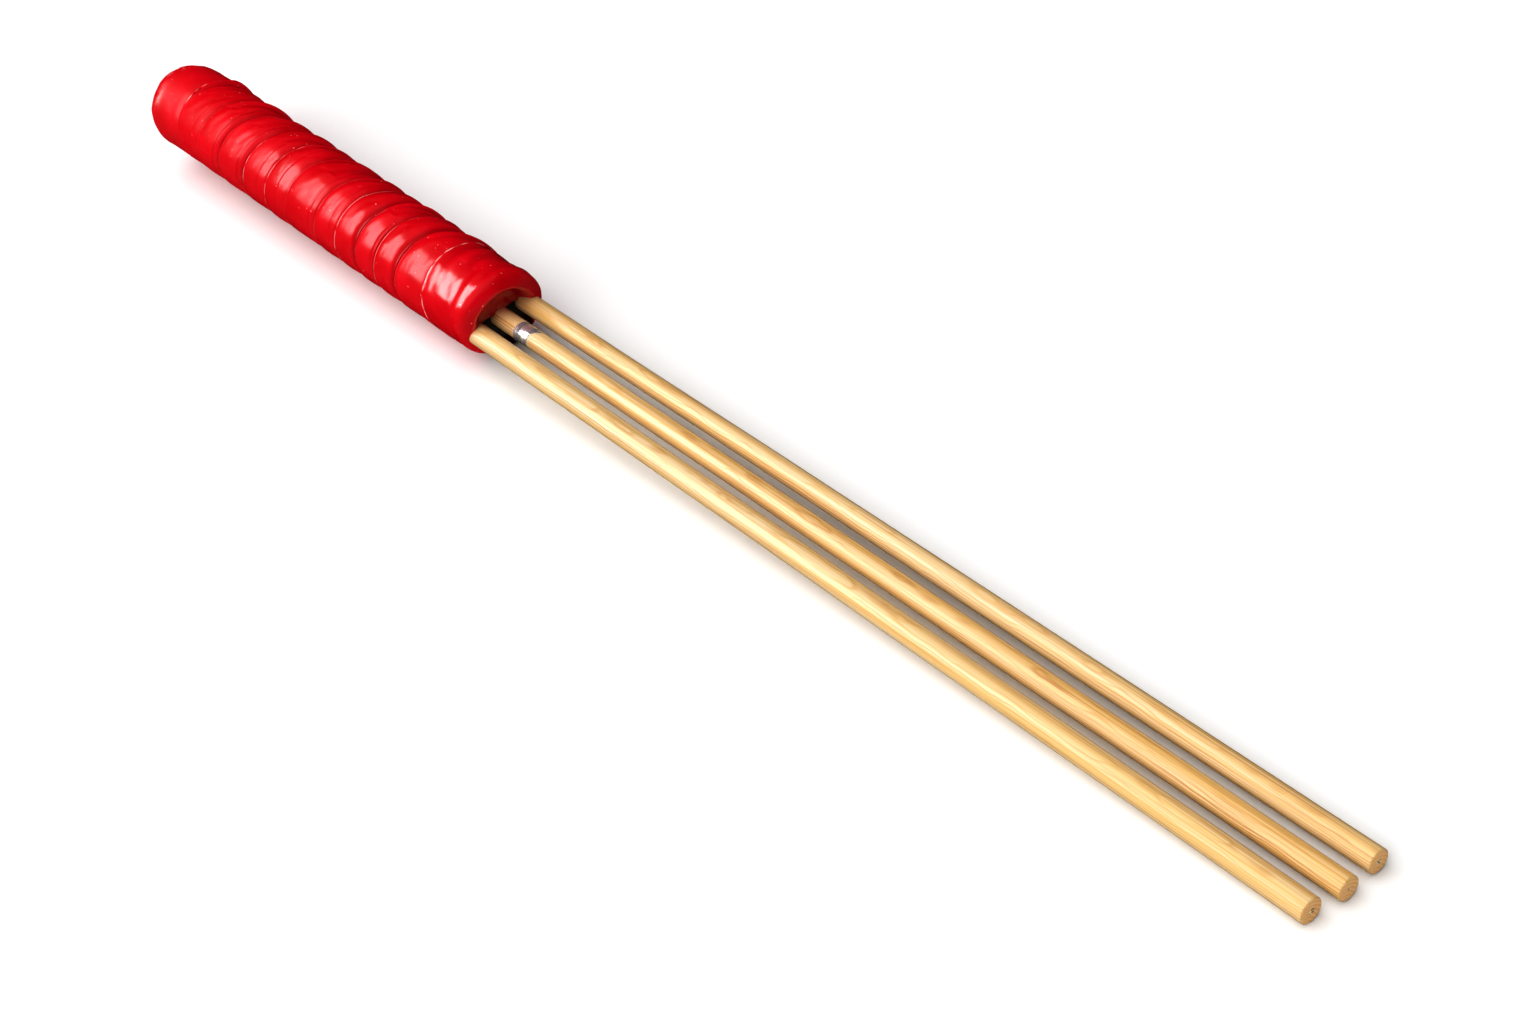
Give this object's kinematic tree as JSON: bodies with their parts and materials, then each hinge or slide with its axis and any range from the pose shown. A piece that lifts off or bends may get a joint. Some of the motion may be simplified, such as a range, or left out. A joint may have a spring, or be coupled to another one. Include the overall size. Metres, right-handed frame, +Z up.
{
  "type": "focus training sticks",
  "caption": "Martial arts focus training sticks: parallel varnished wooden rods set in one padded grip wound with glossy red tape.",
  "frame": {"origin": "under the middle of the object's box, on the surface that the grip lies on", "axes": "+X along the grip's axis towards the free ends of the rods, +Y across the row of rods, +Z up"},
  "size_m": [0.672, 0.0378, 0.0378],
  "materials": {
    "wood": "gloss",
    "red_tape": "gloss",
    "foam": "matte",
    "binding": "matte",
    "foil": "polished"
  },
  "bodies": {
    "root": {"rod_front": "wood", "rod_middle": "wood", "rod_back": "wood", "foil_band": "foil", "grip_tape": "red_tape", "front_collar": "red_tape", "butt_cap": "red_tape", "padding_upper": "foam", "padding_lower": "foam", "front_plug": "foam", "butt_plug": "foam", "spacer_front": "foam", "spacer_back": "foam", "lashing_front": "binding", "lashing_middle": "binding", "lashing_rear": "binding"}
  },
  "joints": []
}
